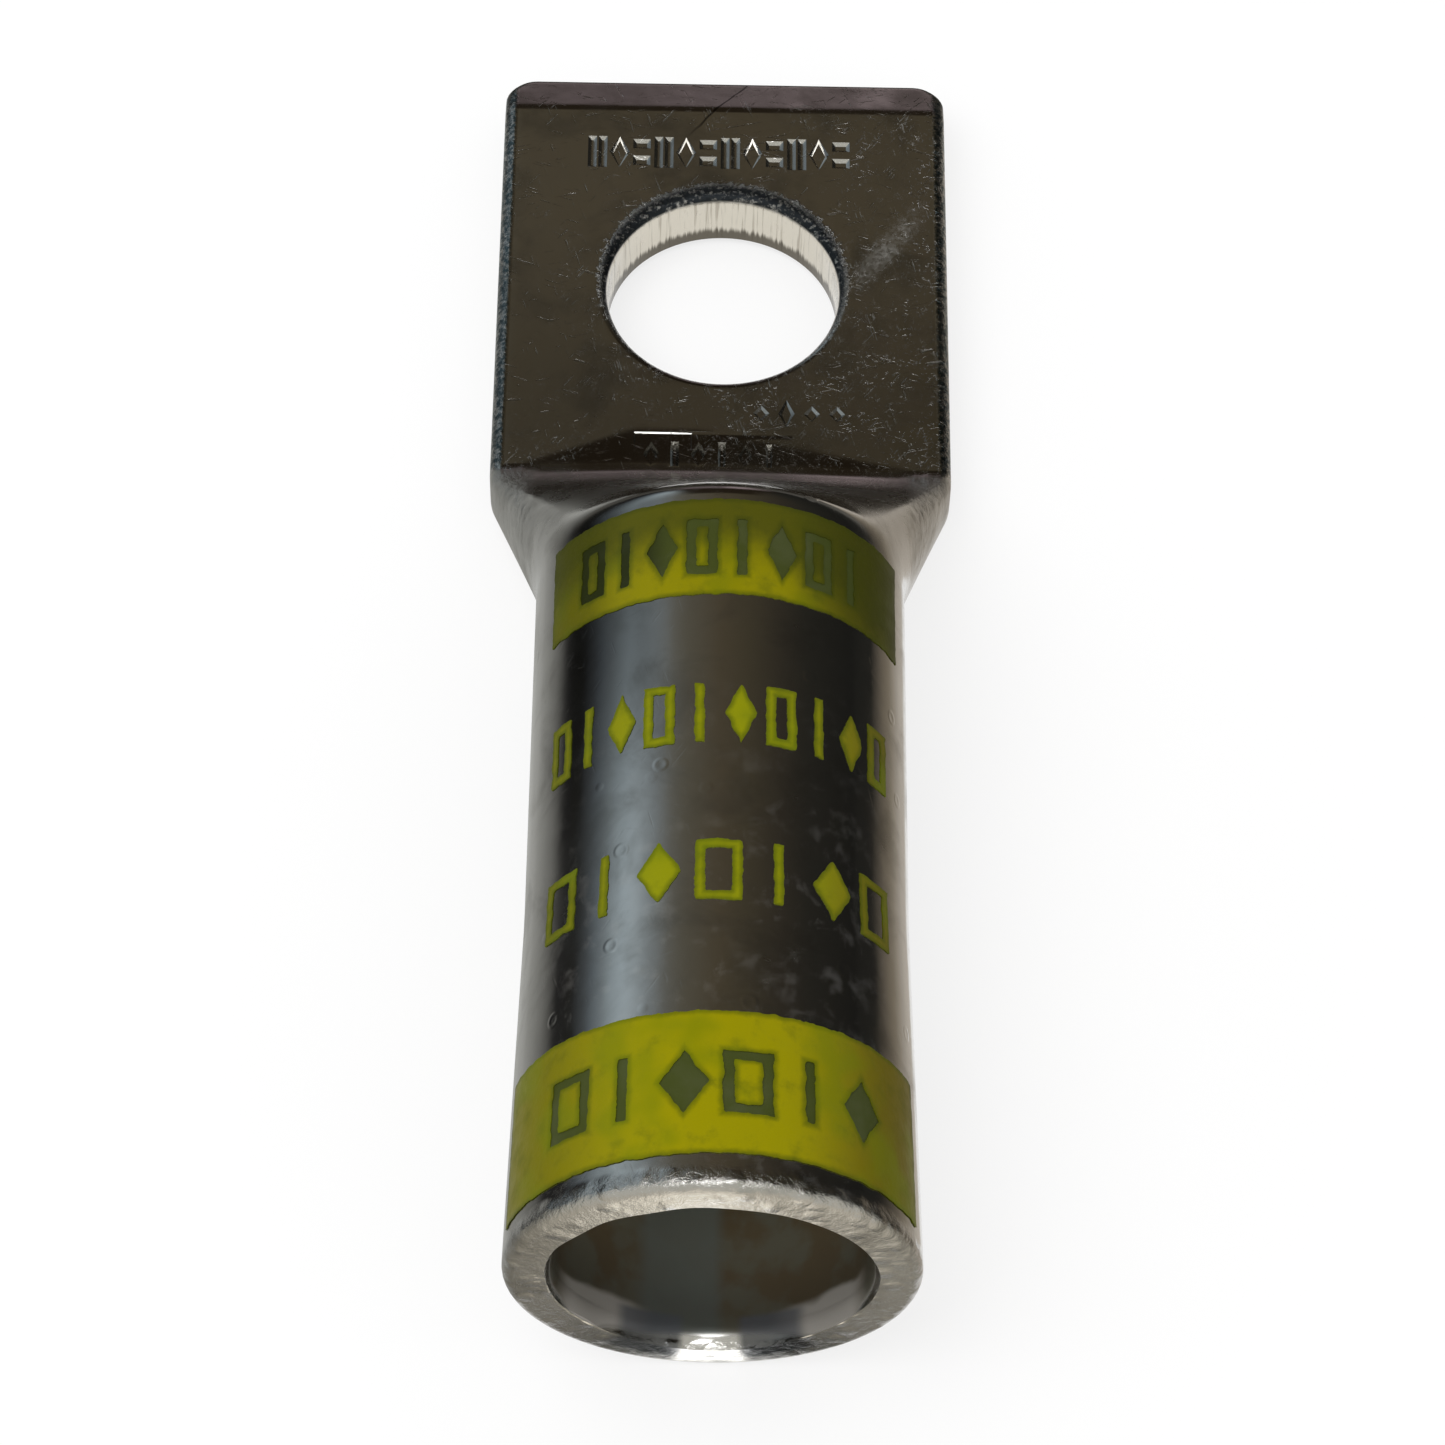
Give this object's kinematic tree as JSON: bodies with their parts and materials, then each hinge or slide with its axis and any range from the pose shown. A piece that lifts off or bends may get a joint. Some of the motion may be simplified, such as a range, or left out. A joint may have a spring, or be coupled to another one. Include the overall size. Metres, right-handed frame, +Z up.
{
  "type": "compression cable lug",
  "caption": "Round copper barrel with a belled mouth that is pressed flat into a palm with a stud hole, tin plated, with yellow ink bands and marks on the barrel.",
  "frame": {"origin": "centre of the stud hole on the palm's underside", "axes": "+Z up out of the palm's top along the stud hole, +Y along the barrel from its mouth towards the palm's far end, +X to the right"},
  "size_m": [0.0254, 0.0815, 0.0203],
  "materials": {
    "tin_plate": "bright tin plate with fine scratches",
    "band_ink": "thin glossy printing ink",
    "mark_ink": "thin glossy printing ink"
  },
  "bodies": {
    "root": {"lug_body": "tin_plate", "upper_band": "band_ink", "upper_marks": "mark_ink", "lower_marks": "mark_ink", "lower_band": "band_ink"}
  },
  "joints": []
}
